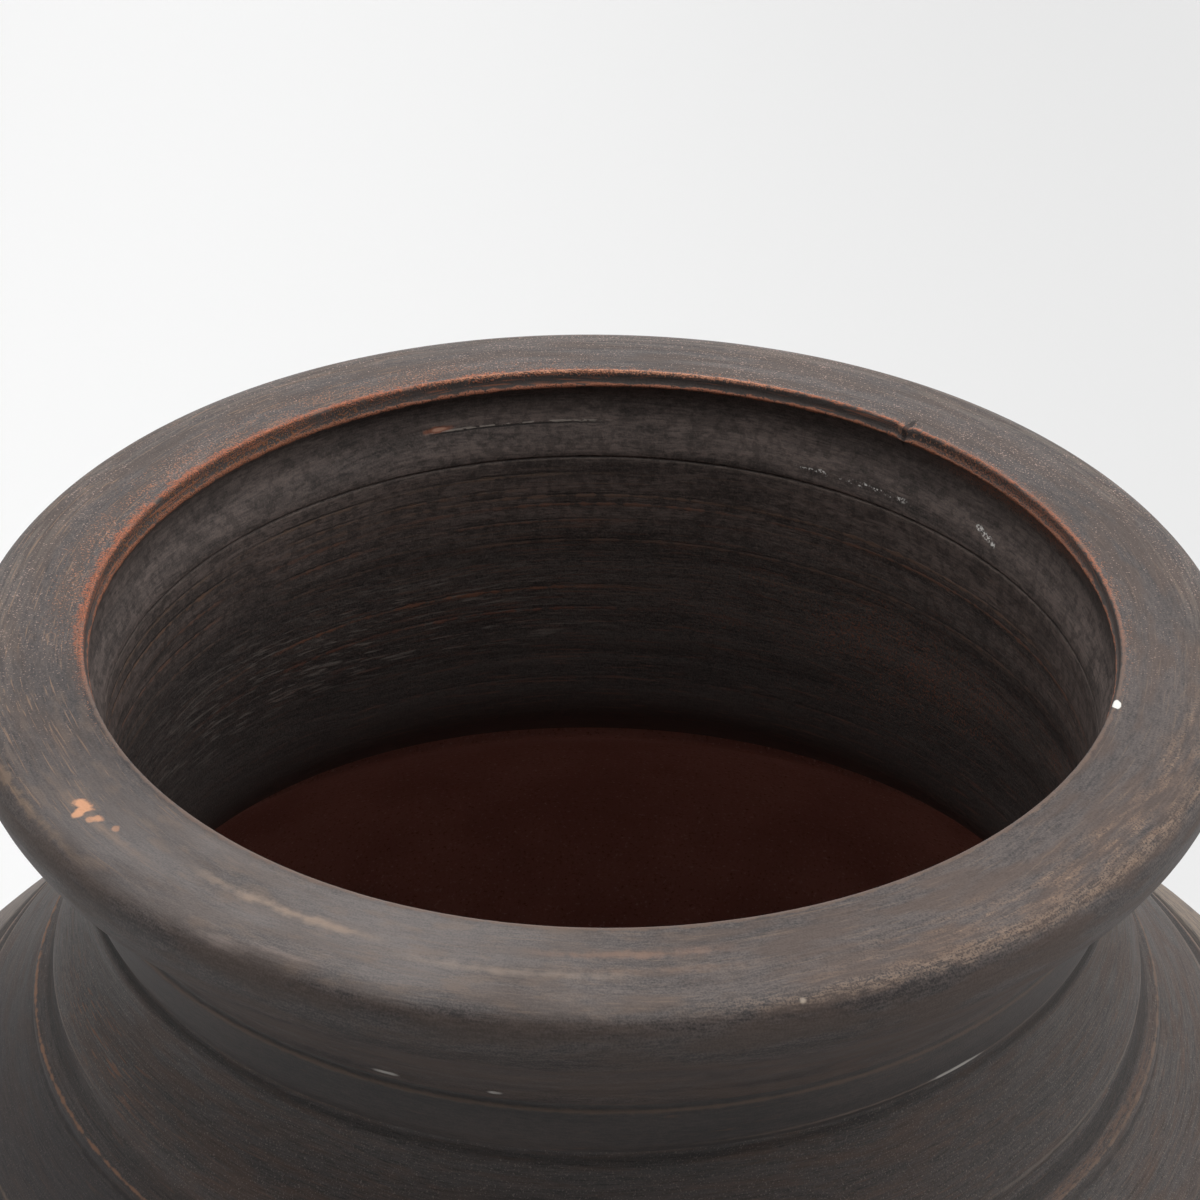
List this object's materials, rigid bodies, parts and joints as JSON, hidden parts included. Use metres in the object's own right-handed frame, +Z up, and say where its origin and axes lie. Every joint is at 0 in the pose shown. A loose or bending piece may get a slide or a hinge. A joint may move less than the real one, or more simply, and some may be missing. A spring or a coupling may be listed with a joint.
{
  "type": "planter vase",
  "caption": "Wide-bellied earthenware planter vase with a short grooved neck, a heavy turned-out rim, worn black slip and a plugged drain hole.",
  "frame": {"origin": "centre of the plane that the vase stands on", "axes": "+Z up along the axis of the vase, +Y away from the picture's viewer"},
  "size_m": [0.39, 0.39, 0.355],
  "materials": {
    "slipped_clay": "matt black slip, brushed on and rubbed back to the clay on the edges",
    "bare_clay": "bare fired terracotta, matt",
    "rubber": "moulded, matt",
    "felt": "pressed wool felt"
  },
  "bodies": {
    "pot": {"base_disc": "bare_clay", "lower_body": "slipped_clay", "upper_body": "slipped_clay", "shoulder": "slipped_clay", "neck_collar": "slipped_clay", "rim": "slipped_clay", "felt_pad_1": "felt", "felt_pad_2": "felt", "felt_pad_3": "felt", "felt_pad_4": "felt"},
    "plug": {"drain_plug": "rubber"}
  },
  "joints": [
    {"name": "plug_lift", "type": "slide", "parent": "pot", "child": "plug", "axis": [0, 0, 1], "range_m": [0, 0.38]}
  ]
}
